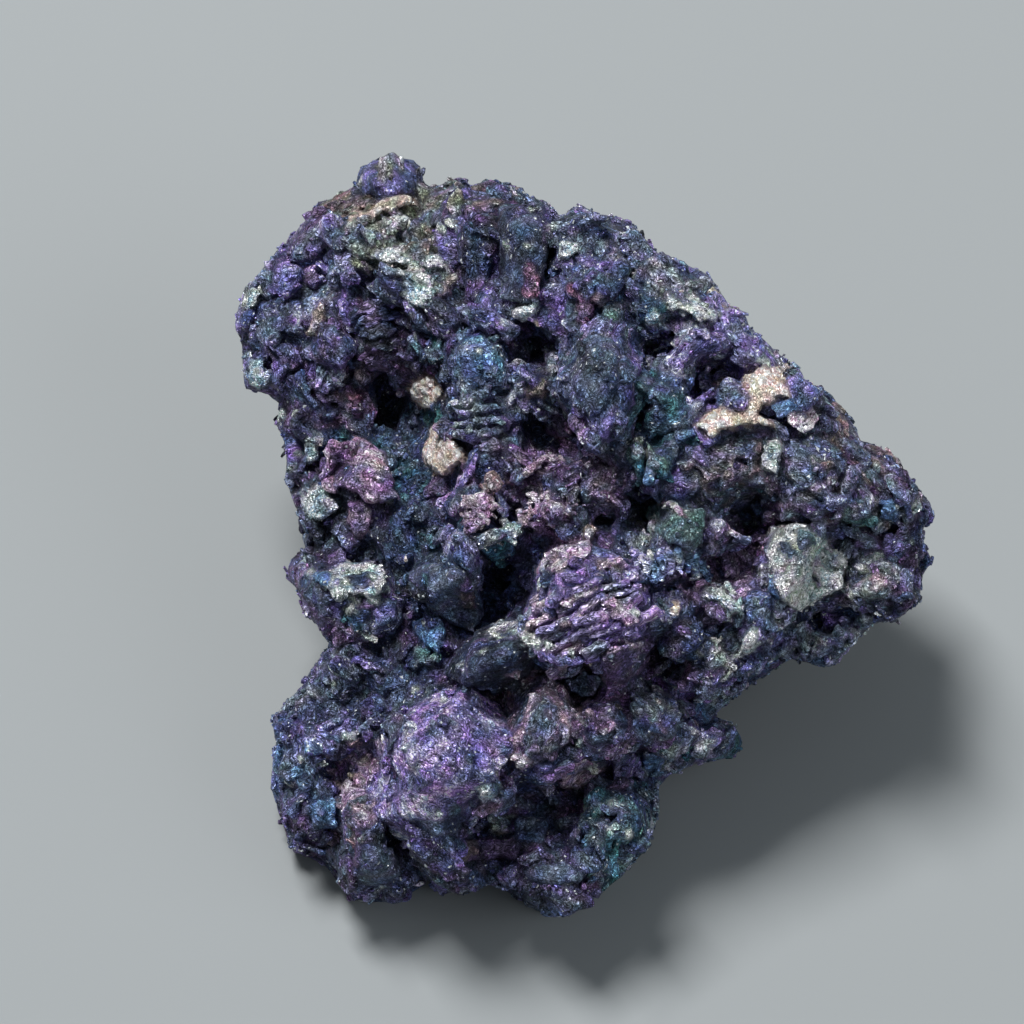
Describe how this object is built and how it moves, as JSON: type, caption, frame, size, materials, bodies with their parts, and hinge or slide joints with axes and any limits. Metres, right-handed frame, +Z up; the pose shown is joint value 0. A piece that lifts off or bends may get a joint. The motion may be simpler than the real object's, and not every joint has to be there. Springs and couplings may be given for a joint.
{
  "type": "chalcocite mineral specimen",
  "caption": "Chunky chalcocite cluster of platy, blue-violet tarnished crystals grown together, lying on a flat broken spot with its crystalled face tipped up.",
  "frame": {"origin": "middle of the bounding box at the level of the surface that the specimen rests on", "axes": "+Z up; the crystalled face looks towards -Y and up, 60 degrees above the horizontal; +X to the right as the face is seen"},
  "size_m": [0.0481, 0.0498, 0.0324],
  "materials": {
    "tarnished_chalcocite": "sub-metallic sulfide with a patchy blue, violet and teal tarnish and small bright silvery facets"
  },
  "bodies": {
    "root": {"chalcocite_cluster": "tarnished_chalcocite"}
  },
  "joints": []
}
